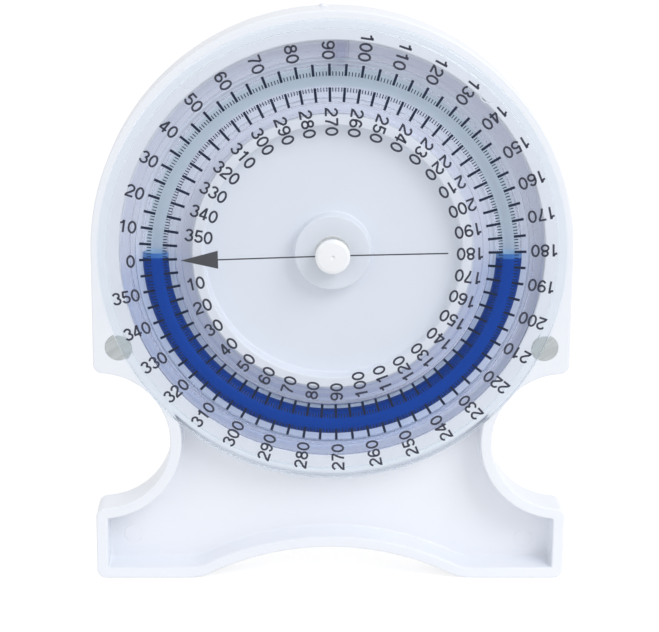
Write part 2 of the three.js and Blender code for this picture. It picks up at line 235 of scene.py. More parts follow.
class ScaleSizes(bpy.types.PropertyGroup):
    """Sizes of the printed scales."""

    lift: length("Lift", 0.00002, "Print in front of the dial")
    tick_offset: offset("Tick offset", (0.00005, -0.00004), "Ticks from the hub")
    outer_offset: offset("Outer offset", (0.00010, -0.00010), "Outer figures from the hub")
    inner_offset: offset("Inner offset", (0.00030, -0.00022), "Inner figures from the hub")
    turn: degrees("Turn", 1.4, "Dial turned counter-clockwise")
    figure_turn: degrees("Figure turn", 0.28, "Outer figures counter-clockwise of their ticks")
    outer_start: length("Outer scale radius", 0.03793, "Foot of the outer ticks")
    outer_short: length("Outer one degree end", 0.03882, "End of a short outer tick")
    outer_long: length("Outer five degree end", 0.04043, "End of a long outer tick")
    inner_start: length("Inner scale radius", 0.03554, "Foot of the inner ticks")
    inner_short: length("Inner one degree end", 0.03465, "End of a short inner tick")
    inner_long: length("Inner five degree end", 0.0325, "End of a long inner tick")
    long_width: length("Five degree width", 0.00055, "Width of a long tick")
    short_width: length("One degree width", 0.00021, "Width of a short tick")
    outer_figures: length("Outer figures", 0.04126, "Inner end of the outer figures")
    inner_figures: length("Inner figures", 0.03154, "Outer end of the inner figures")
    figure_height: length("Figure height", 0.00266, "Height of a figure")
    figure_step: length("Figure step", 0.00200, "From one figure to the next")
    stroke: length("Stroke", 0.00044, "Thickness of a figure's lines")
    arrow_tip: length("Arrow tip", 0.03184, "Radius of the arrow's tip")
    arrow_base: length("Arrow base", 0.024, "Radius of the arrow's base")
    arrow_half: length("Arrow half width", 0.00194, "Half the arrow's base")
    arrow_drop: length("Arrow drop", 0.0003, "Arrow below the line through the hub")
    line_end: length("Line end", 0.0241, "Radius of the line's right end")
    line_width: length("Line width", 0.0003, "Width of the thin line")


class HubSizes(bpy.types.PropertyGroup):
    """Sizes of the button in the middle."""

    cap_radius: length("Button radius", cap_high.x, "Button over the hub")
    cap_foot: length("Button foot", 0.0003, "Gap between button and dial")
    shoulder: length("Shoulder", 0.0006, "Width of the button's sloped edge")
    shoulder_drop: length("Shoulder drop", 0.00035, "Height of the sloped edge")
    dome: length("Dome", 0.00012, "Crown of the button's face")
    dimple: length("Dimple radius", 0.0004, "Dimple in the button")
    dimple_depth: length("Dimple depth", 0.00042, "Depth of the dimple")
    wall: length("Button wall", 0.0005, "Wall of the button")


class FinishColours(bpy.types.PropertyGroup):
    """Colours of the object's finishes."""

    case: colour("Case", (0.862, 0.888, 0.948), "White moulded case")
    case_deep: colour("Case shade", (0.846, 0.876, 0.94), "Cloudy places of the case")
    cap: colour("Button", (0.90, 0.92, 0.955), "Polished button")
    clear: colour("Clear plastic", (0.885, 0.91, 0.945), "Clear dial")
    clear_shade: colour("Clear plastic's shade", (0.995, 0.998, 1.0), "Light through the dial")
    # Partly painted light: the pale cyan tint of the channel's walls is the plastic's own, and
    # also paints the blue glow of the liquid's light
    groove: colour("Channel wall", (0.90, 0.96, 0.99), "Soft wall of the channel")
    lilac: colour("Channel plastic", (0.90, 0.90, 0.96), "Clear ring of the channel")
    lilac_shade: colour("Channel's shade", (0.99, 0.99, 1.0), "Light through the ring")
    liquid_shade: colour("Liquid's shade", (0.71, 0.81, 0.99), "Light through the liquid")
    ink_shade: colour("Ink's shade", (0.7, 0.7, 0.72), "Light through the thin ink")
    tube: colour("Tube", (0.70, 0.77, 0.81), "Rear wall of the empty channel")
    liquid: colour("Liquid", (0.005, 0.06, 0.38), "Dyed liquid")
    # Painted shade: the liquid's colour by the channel's wall, darker in place of the round
    # channel's refraction
    liquid_edge: colour("Liquid edge", (0.004, 0.04, 0.25), "Dyed liquid by the wall")
    # Painted highlight: lighter colours on the liquid's top surface, at its front and paler at its
    # back
    liquid_top: colour("Liquid surface highlight", (0.05, 0.17, 0.50), "Front of the liquid's surface")
    liquid_far: colour("Liquid far edge highlight", (0.33, 0.50, 0.70), "Back of the liquid's surface")
    plug: colour("Plug", (0.93, 0.95, 1.0), "Plug of the filling hole")
    ink: colour("Ink", (0.006, 0.014, 0.042), "Ticks")
    figure_ink: colour("Figure ink", (0.034, 0.038, 0.062), "Figures")
    arrow: colour("Arrow", (0.06, 0.065, 0.075), "Printed arrow")
    steel: colour("Steel", (0.62, 0.66, 0.67), "Ground pin ends")
    plating: colour("Plating", (0.82, 0.84, 0.85), "Screw and spring washer")
    nylon: colour("Nylon", (0.74, 0.72, 0.64), "Bush and washer")


class StageSettings(bpy.types.PropertyGroup):
    """Camera, lamps, room and floor."""

    azimuth: degrees("Azimuth", -0.9585, "Camera's turn to the left")
    elevation: degrees("Elevation", 15.4466, "Camera's height above the horizon")
    roll: degrees("Roll", 0.3562, "Camera's roll")
    place: offset("Place", (-0.00838, -0.46595, 0.11572), "Camera from the dial's front middle")
    lens: number("Lens", 125.67, "Focal length in millimetres", unit="CAMERA")
    room: share("Room light", 0.74, "Light of the pale room")
    front_room: share("Room's front", 0.28, "What gloss shows of the room before the object")
    clear_room: share("Front through glass", 0.6, "What glass shows of the room's front")
    key: power("Key lamp", 2.4, "Power of the key lamp")
    key_place: offset("Key lamp's place", (0.40, -0.44, 0.55), "Where the key lamp hangs")
    key_size: length("Key lamp's size", 0.4, "Side of the key lamp")
    fill: power("Fill lamp", 0.6, "Power of the fill lamp")
    fill_place: offset("Fill lamp's place", (-0.6, -0.7, 0.35), "Where the fill lamp hangs")
    fill_size: length("Fill lamp's size", 0.6, "Side of the fill lamp")
    floor_front: length("Floor's front", 0.07, "Floor before the object")
    floor_reach: length("Floor's reach", 3.0, "Floor behind and to each side")
    floor: colour("Floor", (0.93, 0.93, 0.93), "Pale floor")
    floor_shade: colour("Floor's shade", (0.92, 0.92, 0.92), "Cloudy places of the floor")
    floor_tone: share("Floor's tone", 0.4, "Lamps' light that the seen floor gives back")
    floor_glow: share("Floor's glow", 0.72, "White that the seen floor adds")


# Shapes


def spread(start, end, steps):
    """Even steps from start to end."""
    return [start + (end - start) * i / steps for i in range(steps + 1)]


def arc(centre_x, centre_z, radius, start, end, steps):
    """Points of an arc in the X and Z plane."""
    return [
        (centre_x + radius * math.cos(a), centre_z + radius * math.sin(a))
        for a in spread(start, end, steps)
    ]


def circle(centre, radius, flats):
    """Points round a circle, or its middle alone where it has no radius."""
    if radius < 1e-7:
        return [centre]
    return arc(*centre, radius, 0.0, 2 * math.pi, flats)[:-1]


def rounded(corners, steps=4, closed=False):
    """A profile of (radius, depth, rounding) corners as plain points."""
    points = []
    count = len(corners)
    for i, corner in enumerate(corners):
        here = Vector(corner[:2])
        rounding = corner[2] if len(corner) > 2 else 0.0
        if rounding == 0 or (not closed and i in (0, count - 1)):
            points.append(tuple(here))
            continue
        before = Vector(corners[i - 1][:2]) - here
        after = Vector(corners[(i + 1) % count][:2]) - here
        half = before.angle(after) / 2
        reach = rounding / math.tan(half)
        middle = here + (before.normalized() + after.normalized()).normalized() * (
            rounding / math.sin(half)
        )
        first = here + before.normalized() * reach - middle
        last = here + after.normalized() * reach - middle
        swing = first.angle_signed(last)
        for a in spread(0.0, swing, steps):
            points.append(tuple(middle + Matrix.Rotation(-a, 2) @ first))
    return points


def skin(shape, rings):
    """Faces from each closed ring of points to the next, where a ring of one is a tip."""
    for one, other in zip(rings, rings[1:]):
        here, there = len(one), len(other)
        count = max(here, there)
        for i in range(count):
            j = (i + 1) % count
            corners = (one[i % here], one[j % here], other[j % there], other[i % there])
            shape.faces.new(list(dict.fromkeys(corners)))


def ring_at(shape, points, depth):
    """A ring of points of X and Z at one depth."""
    return [shape.verts.new((x, FRONT + depth, z)) for x, z in points]


def revolve(shape, profile, flats, centre=AXIS, closed=False):
    """Turns a profile of radius and depth about a line along Y. Returns its first ring."""
    rings = [ring_at(shape, circle(centre, radius, flats), depth) for radius, depth in profile]
    skin(shape, rings + rings[:1] if closed else rings)
    return rings[0]


def fill(shape, *rings):
    """A flat face between rings that lie at one depth."""
    edges = [
        shape.edges.get((ring[i - 1], ring[i])) for ring in rings for i in range(len(ring))
    ]
    bmesh.ops.triangle_fill(shape, use_beauty=True, use_dissolve=False, edges=edges)


def stub(radius, foot, top, rounding, flats, place):
    """A round stub with its two ends rounded. place puts a point of it in the scene."""
    shape = bmesh.new()
    profile = rounded(
        [(0.0, foot), (radius, foot, rounding[0]), (radius, top, rounding[1]), (0.0, top)]
    )
    rings = [
        [shape.verts.new(place(x, y, height)) for x, y in circle((0.0, 0.0), reach, flats)]
        for reach, height in profile
    ]
    skin(shape, rings)
    return shape


def new_piece(name, shape, materials, body, replaced=(), solid=True, crease=38):
    """Makes the object, shades it, and ties it to its body and finish."""
    if solid:
        bmesh.ops.recalc_face_normals(shape, faces=shape.faces)
        if any(len(edge.link_faces) != 2 for edge in shape.edges):
            raise RuntimeError(f"{name} isn't closed")
    for edge in shape.edges:
        if len(edge.link_faces) == 2 and edge.calc_face_angle() > math.radians(crease):
            edge.smooth = False
    mesh = bpy.data.meshes.new(name)
    shape.to_mesh(mesh)
    shape.free()
    mesh.polygons.foreach_set("use_smooth", [True] * len(mesh.polygons))
    for material in materials if isinstance(materials, tuple) else (materials,):
        mesh.materials.append(material)
    piece = bpy.data.objects.new(name, mesh)
    bpy.context.scene.collection.objects.link(piece)
    if solid:
        shading = piece.modifiers.new("Even shading", "WEIGHTED_NORMAL")
        shading.keep_sharp = True
    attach(piece, body)
    if replaced:
        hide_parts(*replaced)


class NotchTurn:
    """Where the notch's arc meets the corners above and below it."""

    def __init__(self, sizes, inset):
        self.bite = sizes.notch_radius + inset
        self.middle_x = sizes.half_width - sizes.notch_setback
        self.middle_z = sizes.foot_height + sizes.notch_radius
        self.corner = max(sizes.notch_corner - inset, sizes.inside_corner)
        self.x = sizes.half_width - inset - self.corner
        reach = self.x - self.middle_x
        rise = math.sqrt((self.bite + self.corner) ** 2 - reach**2)
        self.foot_z = self.middle_z - rise
        self.shoulder_z = self.middle_z + rise
        self.end = math.atan2(rise, -reach)

    def notch(self, end, steps):
        """The notch's arc, up from the foot's corner to an angle."""
        start = math.pi + self.end
        return arc(self.middle_x, self.middle_z, self.bite, start, end, steps)[1:]


def right_side(sizes, inset, turn):
    """The case's outline from the arch's top to the notch, drawn in by an inset."""
    rise = sizes.arch_height
    arch = (sizes.arch_half_span**2 + rise**2) / (2 * rise)
    arch_z = rise - arch
    fillet = sizes.arch_fillet
    fillet_x = math.sqrt((arch + fillet) ** 2 - (fillet - arch_z) ** 2)
    arch_end = math.atan2(fillet - arch_z, fillet_x)
    foot = max(sizes.foot_corner - inset, sizes.inside_corner)
    foot_x = sizes.half_width - inset - foot
    low = 1.5 * math.pi
    return [
        *arc(0.0, arch_z, arch + inset, math.pi / 2, arch_end, ARCH_STEPS),
        *arc(fillet_x, fillet, fillet - inset, arch_end + math.pi, low, FILLET_STEPS)[1:],
        *arc(foot_x, inset + foot, foot, -math.pi / 2, 0.0, CORNER_STEPS),
        *arc(turn.x, turn.foot_z, turn.corner, 0.0, turn.end, CORNER_STEPS),
    ]


def mirrored(right):
    """A closed outline from its right half, which starts and ends in the middle."""
    return right + [(-x, z) for x, z in reversed(right[1:-1])]


def case_outline(sizes, inset):
    """The case's outline, drawn in by an inset."""
    turn = NotchTurn(sizes, inset)
    return mirrored(
        right_side(sizes, inset, turn)
        + turn.notch(math.pi - turn.end, NOTCH_STEPS)
        + arc(turn.x, turn.shoulder_z, turn.corner, -turn.end, 0.0, CORNER_STEPS)[1:]
        + arc(*AXIS, sizes.half_width - inset, 0.0, math.pi / 2, CROWN_STEPS)
    )


def tray_outline(sizes, inset, drum):
    """The tray's outline: the case's wall below and the round drum above."""
    turn = NotchTurn(sizes, inset)
    middle = Vector((turn.middle_x, turn.middle_z))
    hub = Vector(AXIS)
    apart = (middle - hub).length
    along = (drum**2 - turn.bite**2 + apart**2) / (2 * apart)
    aside = math.sqrt(drum**2 - along**2)
    way = (middle - hub).normalized()
    meet = hub + way * along + Vector((way.y, -way.x)) * aside
    notch_end = math.atan2(meet.y - middle.y, meet.x - middle.x) % (2 * math.pi)
    drum_start = math.atan2(meet.y - hub.y, meet.x - hub.x)
    return mirrored(
        right_side(sizes, inset, turn)
        + turn.notch(notch_end, TRAY_NOTCH_STEPS)
        + arc(*AXIS, drum, drum_start, -math.pi / 2, DRUM_STEPS)[1:]
    )


def edge_steps(rounding, steps=4):
    """How far in and how far down each step of a rounded edge lies."""
    return [
        (rounding * (1 - math.sin(a)), rounding * (1 - math.cos(a)))
        for a in spread(0.0, math.pi / 2, steps)
    ]


def build_case(sizes):
    """The whole case as one closed shape."""
    shape = bmesh.new()
    land, back = sizes.land, sizes.back
    edge, root = sizes.front_edge, sizes.root_fillet
    outside = []
    for inset, drop in edge_steps(edge):
        outside.append(ring_at(shape, case_outline(sizes, inset), land + drop))
    for inset, drop in reversed(edge_steps(sizes.back_edge)):
        outside.append(ring_at(shape, case_outline(sizes, inset), back - drop))
    tray = []
    for inset, drop in edge_steps(edge):
        outline = tray_outline(sizes, sizes.wall - inset, sizes.drum - inset)
        tray.append(ring_at(shape, outline, land + drop))
    for inset, drop in reversed(edge_steps(root)):
        inward = inset + sizes.draft
        outline = tray_outline(sizes, sizes.wall + inward, sizes.drum + inward)
        tray.append(ring_at(shape, outline, sizes.tray_floor - drop))
    skin(shape, outside)
    skin(shape, tray)
    pilot_end = back - 2 * sizes.boss_setback
    steps = [
        (sizes.bed + edge, land),
        (sizes.bed, land, edge),
        (sizes.bed, sizes.trough, root),
        (sizes.rib_outer, sizes.trough, root),
        (sizes.rib_outer, sizes.rib_top, edge),
        (sizes.rib_inner, sizes.rib_top, edge),
        (sizes.rib_inner, sizes.recess, root),
        (sizes.pedestal, sizes.recess, root),
        (sizes.pedestal, sizes.pedestal_top, edge),
        (sizes.pilot, sizes.pedestal_top, sizes.pilot / 6),
        (sizes.pilot, pilot_end),
        (0.0, pilot_end),
    ]
    bed = revolve(shape, rounded(steps), BED_FLATS)
    trough_back = sizes.trough + sizes.skin
    recess_back = sizes.recess + sizes.skin
    pocket = sizes.drum - sizes.wall
    steps = [
        (pocket + edge, back),
        (pocket, back, edge),
        (pocket, trough_back, root),
        (sizes.rib_inner, trough_back, edge),
        (sizes.rib_inner, recess_back, root),
        (sizes.boss, recess_back, root),
        (sizes.boss, back - sizes.boss_setback, edge),
        (0.0, back - sizes.boss_setback),
    ]
    hollow = revolve(shape, rounded(steps), BED_FLATS)
    pin_end = pin_high.y - FRONT
    hole = [(sizes.pin_hole + edge / 3, land), (sizes.pin_hole, land + edge / 3)]
    hole += [(sizes.pin_hole, pin_end), (0.0, pin_end)]
    holes = [
        revolve(shape, hole, HOLE_FLATS, centre=(side * PIN_MIDDLE[0], PIN_MIDDLE[1]))
        for side in (-1, 1)
    ]
    land_marks = [eject_mark(shape, sizes, at, land) for at in LAND_MARKS]
    floor_marks = [eject_mark(shape, sizes, at, sizes.tray_floor) for at in FLOOR_MARKS]
    fill(shape, outside[0], tray[0], bed, *holes, *land_marks)
    fill(shape, tray[-1], *floor_marks)
    fill(shape, outside[-1], hollow)
    return shape


def eject_mark(shape, sizes, centre, depth):
    """A shallow round mark that an ejector leaves. Returns its outer ring."""
    radius, step = sizes.eject_radius, sizes.eject_step
    rise = [(radius, depth), (radius - step, depth + step)]
    rise += [(radius - 4 * step, depth + step), (radius - 5 * step, depth), (0.0, depth)]
    return revolve(shape, rise, MARK_FLATS, centre=centre)


def build_nub(sizes):
    """The stub that the mould's gate leaves on top of the case."""
    radius = sizes.nub_radius
    foot = AXIS[1] + sizes.half_width - sizes.wall / 2

    def place(x, y, height):
        return NUB_PLACE[0] + x, FRONT + NUB_PLACE[1] + y, height

    return stub(radius, foot, shell_high.z, (0.0, radius / 4), NUB_FLATS, place)


def build_pin(side):
    """A steel pin with a softly broken edge, in the left shoulder or the right."""
    radius = (pin_high.x - pin_low.x) / 2
    front, back = pin_low.y - FRONT, pin_high.y - FRONT

    def place(x, z, depth):
        return x, FRONT + depth, z

    shape = stub(radius, front, back, (radius / 14, 0.0), PIN_FLATS, place)
    shoulder = (side * PIN_MIDDLE[0], 0.0, PIN_MIDDLE[1])
    bmesh.ops.translate(shape, vec=shoulder, verts=shape.verts)
    return shape


def half_section(sizes, radius, start, across, back):
    """Points of radius and depth on half of a circle round the channel's middle."""
    return [
        (
            sizes.channel_middle + across * radius * math.cos(a),
            sizes.channel_depth + back * radius * math.sin(a),
        )
        for a in spread(start, math.pi - start, CHANNEL_STEPS)
    ]


def build_dial(sizes):
    """The clear disc, with its rim and the front half of the liquid's channel."""
    shape = bmesh.new()
    middle, channel = sizes.channel_middle, sizes.channel_radius
    inner = middle - channel - sizes.channel_wall
    outer = middle + channel + sizes.channel_wall
    skirt = sizes.radius - sizes.skirt_wall
    soft = sizes.edge / 2
    corners = [
        (sizes.bore, 0.0, soft / 2),
        (sizes.radius, 0.0, sizes.edge),
        (sizes.radius, sizes.skirt_depth, soft),
        (skirt, sizes.skirt_depth, soft),
        (skirt, sizes.plate, soft),
        (outer, sizes.plate, soft / 2),
        (outer, sizes.channel_depth),
        *half_section(sizes, channel, 0.0, 1, -1),
        (inner, sizes.channel_depth),
        (inner, sizes.plate, soft / 2),
        (sizes.bore, sizes.plate, soft / 2),
    ]
    revolve(shape, rounded(corners, closed=True), DIAL_FLATS, closed=True)
    # The front, its edge and the flat back of the plate are polished, and the rest is bonded
    for face in shape.faces:
        depth = face.calc_center_median().y - FRONT
        if depth > sizes.edge * 1.01 and abs(depth - sizes.plate) > 1e-5:
            face.material_index = 1
    return shape


def build_channel(sizes):
    """The clear ring that closes the channel from behind, with a rim on either side."""
    shape = bmesh.new()
    channel, thick = sizes.channel_radius, sizes.flange_thick
    outside = channel + sizes.cover
    front, rim_front = sizes.flange_front, sizes.rim_front
    back, rim_back = front + thick, rim_front + thick
    step = channel + sizes.channel_wall + sizes.rim_gap
    inner, outer = sizes.channel_middle - step, sizes.channel_middle + step
    start = math.asin((front - sizes.channel_depth) / channel)
    bend = math.asin((back - sizes.channel_depth) / outside)
    soft = sizes.edge / 2
    corners = [
        (sizes.flange_inner, rim_front, soft),
        (inner, rim_front, soft),
        (inner, front),
        *half_section(sizes, channel, start, -1, 1),
        (outer, front),
        (outer, rim_front, soft),
        (sizes.flange_outer, rim_front, soft),
        (sizes.flange_outer, rim_back, soft),
        (outer + thick, rim_back, soft),
        (outer + thick, back, soft),
        *half_section(sizes, outside, bend, 1, 1),
        (inner - thick, back, soft),
        (inner - thick, rim_back, soft),
        (sizes.flange_inner, rim_back, soft),
    ]
    revolve(shape, rounded(corners, closed=True), DIAL_FLATS, closed=True)
    for face in shape.faces:
        spot = face.calc_center_median()
        reach = math.hypot(spot.x - AXIS[0], spot.z - AXIS[1])
        if spot.y - FRONT > back and sizes.tube_inner < reach < sizes.tube_outer:
            face.material_index = 1
    return shape


def radial_stub(sizes, radius, inner, outer, rounding):
    """A round stub that points outwards from the channel at the filling hole."""
    turn = Matrix.Rotation(sizes.plug_turn, 4, "Y")
    base = Vector((AXIS[0], FRONT, AXIS[1]))

    def place(x, y, height):
        return base + turn @ Vector((x, sizes.plug_depth + y, height))

    return stub(radius, inner, outer, (rounding, rounding), STUB_FLATS, place)


def build_liquid(sizes):
    """The liquid in the lower half of the channel, climbing the wall at both ends."""
    shape = bmesh.new()
    middle = sizes.channel_middle
    level = -sizes.level / middle
    climb = sizes.meniscus / middle
    full = sizes.channel_radius + sizes.wetting
    ends = [(level + climb * up, size) for up, size in MENISCUS]
    whole = spread(math.pi + MENISCUS_END, 2 * math.pi - MENISCUS_END, LIQUID_STEPS)
    path = [(math.pi - a, size) for a, size in ends]
    path += [(a, 1.0) for a in whole]
    path += [(2 * math.pi + a, size) for a, size in reversed(ends)]
    rings = []
    for along, size in path:
        ring = []
        sides = 1 if size == 0 else LIQUID_FLATS
        for i in range(sides):
            around = 2 * math.pi * i / sides
            reach = middle + full * size * math.cos(around)
            x = AXIS[0] + reach * math.cos(along)
            y = FRONT + sizes.channel_depth + full * size * math.sin(around)
            z = AXIS[1] + reach * math.sin(along)
            ring.append(shape.verts.new((x, y, z)))
        rings.append(ring)
    skin(shape, rings)
    return shape


def build_cap(sizes):
    """The button: a cup with a sloped shoulder and a dimple in its crowned face."""
    shape = bmesh.new()
    face = cap_low.y - FRONT
    dimple, deep, dome = sizes.dimple, sizes.dimple_depth, sizes.dome
    radius, wall = sizes.cap_radius, sizes.wall
    rim = radius - sizes.shoulder
    crown = [
        (reach, face + dome * (reach / rim) ** 2) for reach in spread(dimple * 2, rim * 0.96, 6)
    ]
    corners = [
        (0.0, face + deep),
        (dimple * 0.5, face + deep * 0.9),
        (dimple * 0.95, face + deep * 0.4),
        (dimple * 1.2, face + dome * 0.1, dome / 3),
        *crown,
        (rim, face + dome, dome),
        (radius, face + dome + sizes.shoulder_drop, dome * 1.5),
        (radius, -sizes.cap_foot, dome / 2),
        (radius - wall, -sizes.cap_foot),
        (radius - wall, face + wall),
        (0.0, face + wall),
    ]
    revolve(shape, rounded(corners), BUTTON_FLATS)
    return shape


# Printed figures. Each stroke runs through the middle of its line, in shares of the height.


def bow(x, y, wide, tall, start, end, steps=12):
    """An oval stroke from one angle to another, in degrees."""
    return [
        (x + wide * math.cos(math.radians(a)), y + tall * math.sin(math.radians(a)))
        for a in spread(start, end, steps)
    ]


SIX = [
    bow(0.01, 0.31, 0.262, 0.245, 0, 360, 20),
    bow(0.02, 0.5, 0.275, 0.435, 38, 205),
]
FIGURES = {
    "0": [bow(0.0, 0.5, 0.268, 0.435, 0, 360, 24)],
    "1": [
        [(0.08, 0.0), (0.08, 1.0)],
        [(-0.22, 0.755), (-0.1, 0.77), (0.0, 0.83), (0.05, 0.97)],
    ],
    "2": [
        bow(0.0, 0.69, 0.262, 0.245, 172, -28)
        + [(0.03, 0.4), (-0.17, 0.25), (-0.262, 0.13), (-0.272, 0.065), (0.3, 0.065)],
    ],
    "3": [
        bow(-0.005, 0.735, 0.232, 0.2, 168, -78),
        bow(0.0, 0.3, 0.27, 0.235, 84, -168, 14),
    ],
    "4": [
        [(0.11, 0.0), (0.11, 1.0)],
        [(0.085, 0.95), (-0.285, 0.3)],
        [(-0.33, 0.255), (0.31, 0.255)],
    ],
    "5": [
        [(0.26, 0.935), (-0.17, 0.935), (-0.225, 0.5)],
        bow(0.0, 0.315, 0.272, 0.25, 146, -165, 14),
    ],
    "6": SIX,
    "7": [
        [(-0.29, 0.935), (0.29, 0.935)],
        [(0.265, 0.9), (0.11, 0.62), (-0.02, 0.32), (-0.08, 0.0)],
    ],
    "8": [
        bow(0.0, 0.735, 0.222, 0.2, 0, 360, 18),
        bow(0.0, 0.3, 0.27, 0.235, 0, 360, 20),
    ],
    "9": [[(-x, 1 - y) for x, y in stroke] for stroke in SIX],
}


def ribbon(points, width):
    """Corners left and right of a line of points, with plain ends and mitred bends."""
    spots = [Vector(p) for p in points]
    round_trip = (spots[0] - spots[-1]).length < 1e-6
    sides = []
    for i, here in enumerate(spots):
        last = i == len(spots) - 1
        if round_trip:
            before = here - spots[i - 1 if i else -2]
            after = (spots[1] if last else spots[i + 1]) - here
        else:
            before = here - spots[i - 1] if i else spots[1] - here
            after = before if last else spots[i + 1] - here
        before, after = before.normalized(), after.normalized()
        way = (before + after).normalized()
        reach = 1 / max(way.dot(before), SHARPEST_BEND) * width / 2
        aside = Vector((-way.y, way.x)) * reach
        sides.append((here + aside, here - aside))
    return sides


class Print:
    """Flat ink on the front of the dial, drawn round the hub's axis."""

    def __init__(self, sizes, shift):
        self.sizes = sizes
        self.shift = shift
        self.shape = bmesh.new()

    def spot(self, x, z):
        """A point of the ink, turned with the scales."""
        turn = self.sizes.turn
        across = x * math.cos(turn) - z * math.sin(turn)
        up = x * math.sin(turn) + z * math.cos(turn)
        right = AXIS[0] + self.shift[0] + across
        height = AXIS[1] + self.shift[1] + up
        return self.shape.verts.new((right, FRONT - self.sizes.lift, height))

    def stroke(self, points, width, place=lambda point: point):
        """A line of ink along some points."""
        sides = [
            [self.spot(*place(point)) for point in pair] for pair in ribbon(points, width)
        ]
        for one, other in zip(sides, sides[1:]):
            self.shape.faces.new([one[0], one[1], other[1], other[0]])

    def tick(self, angle, start, end, width):
        """A short line from one radius to another."""
        x, z = math.cos(angle), math.sin(angle)
        self.stroke([(x * start, z * start), (x * end, z * end)], width)

    def figures(self, text, angle, start):
        """Writes inwards from the radius start, with the heads clockwise."""
        tall, step = self.sizes.figure_height, self.sizes.figure_step
        out = Vector((math.cos(angle), math.sin(angle)))
        head = Vector((out.y, -out.x))
        for i, figure in enumerate(text):
            middle = start - (i + 0.5) * step

            def place(point, middle=middle):
                return out * (middle - point[0]) + head * point[1]

            for stroke in FIGURES[figure]:
                scaled = [(x * tall, (y - 0.5) * tall) for x, y in stroke]
                self.stroke(scaled, self.sizes.stroke, place)

    def finish(self, name, material):
        """Turns the ink to the front and makes its piece."""
        for face in self.shape.faces:
            face.normal_update()
            if face.normal.y > 0:
                face.normal_flip()
        new_piece(name, self.shape, material, "dial", solid=False)


# Finishes


def toned(tint, strength):
    """A colour made darker or lighter."""
    return tuple(strength * part for part in tint)


def material_named(name):
    """A node material of this name and its tree, which is empty."""
    material = bpy.data.materials.get(name) or bpy.data.materials.new(name)
    material.use_nodes = True
    material.node_tree.nodes.clear()
    return material, material.node_tree


def feed(tree, socket, value):
    """Links a socket to another node's, or sets it to a number, a row or a colour."""
    if isinstance(value, bpy.types.NodeSocket):
        tree.links.new(value, socket)
    elif socket.type == "RGBA" and len(value) == 3:
        socket.default_value = (*value, 1.0)
    else:
        socket.default_value = value


def node(tree, kind, *values, settings=None, **inputs):
    """Adds a node. Its inputs come in order or by name. Returns its outputs."""
    made = tree.nodes.new(f"ShaderNode{kind}")
    for name, value in (settings or {}).items():
        setattr(made, name, value)
    for socket, value in zip(made.inputs, values):
        feed(tree, socket, value)
    for name, value in inputs.items():
        feed(tree, made.inputs[name.replace("_", " ")], value)
    return made.outputs


def maths(tree, operation, *values):
    """A sum of two values, or another such operation."""
    return node(tree, "Math", *values, settings={"operation": operation})[0]


def ramp(tree, value, low, high, start=0.0, end=1.0, kind="LINEAR"):
    """Goes from start to end as a value goes from low to high."""
    ends = {"From_Min": low, "From_Max": high, "To_Min": start, "To_Max": end}
    settings = {"interpolation_type": kind}
    return node(tree, "MapRange", Value=value, settings=settings, **ends)["Result"]


def noise(tree, place, scale, detail, stretch=None):
    """Cloudy noise, which stretch draws out into lines."""
    if stretch:
        place = node(tree, "Mapping", Vector=place, Scale=stretch)["Vector"]
    return node(tree, "TexNoise", Vector=place, Scale=scale, Detail=detail)["Fac"]


def blended(tree, factor, first, second):
    """A colour between two, by a factor."""
    made = tree.nodes.new("ShaderNodeMix")
    made.data_type = "RGBA"
    kinds = {"Factor": "VALUE", "A": "RGBA", "B": "RGBA"}
    sockets = [socket for socket in made.inputs if socket.type == kinds.get(socket.name)]
    for socket, value in zip(sockets, (factor, first, second)):
        feed(tree, socket, value)
    return next(socket for socket in made.outputs if socket.type == "RGBA")


def group_of(name, **inputs):
    """An empty group for a surface, with the values given to it and its results."""
    tree = bpy.data.node_groups.new(name, "ShaderNodeTree")
    for label, default in inputs.items():
        tinted = isinstance(default, tuple)
        kind = "NodeSocketColor" if tinted else "NodeSocketFloat"
        label = label.replace("_", " ")
        socket = tree.interface.new_socket(label, in_out="INPUT", socket_type=kind)
        socket.default_value = (*default, 1.0) if tinted else default
    for label, kind in (("Colour", "Color"), ("Roughness", "Float"), ("Normal", "Vector")):
        tree.interface.new_socket(label, in_out="OUTPUT", socket_type=f"NodeSocket{kind}")
    given, result = tree.nodes.new("NodeGroupInput"), tree.nodes.new("NodeGroupOutput")
    return tree, given.outputs, result.inputs


def end_group(tree, result, tone, rough, distance, height):
    """Gives a group its colour, its roughness and the bumps of a height."""
    feed(tree, result["Colour"], tone)
    feed(tree, result["Roughness"], rough)
    bump = node(tree, "Bump", Strength=1.0, Distance=distance, Height=height)
    feed(tree, result["Normal"], bump["Normal"])
    return tree


def moulded_surface():
    """Faint clouds, flow lines and grain of moulded plastic."""
    made = bpy.data.node_groups.get("Moulded surface")
    if made:
        return made
    tree, given, result = group_of(
        "Moulded surface",
        Colour=(0.8, 0.8, 0.8),
        Shade=(0.7, 0.7, 0.7),
        Gloss=0.3,
        Gloss_spread=0.08,
        Cloud_scale=60.0,
        Grain_scale=2500.0,
        Grain_height=0.00001,
    )
    place = node(tree, "TexCoord")["Object"]
    clouds = noise(tree, place, given["Cloud scale"], 3.0)
    grain = noise(tree, place, given["Grain scale"], 2.0)
    flow = noise(tree, place, 1.0, 2.0, stretch=(40.0, 40.0, 700.0))
    tone = blended(tree, clouds, given["Colour"], given["Shade"])
    rough = maths(tree, "ADD", clouds, maths(tree, "MULTIPLY", flow, 0.5))
    rough = maths(tree, "SUBTRACT", rough, 0.75)
    rough = maths(tree, "MULTIPLY", rough, given["Gloss spread"])
    rough = maths(tree, "ADD", rough, given["Gloss"])
    height = maths(tree, "ADD", grain, maths(tree, "MULTIPLY", clouds, 0.6))
    return end_group(tree, result, tone, rough, given["Grain height"], height)


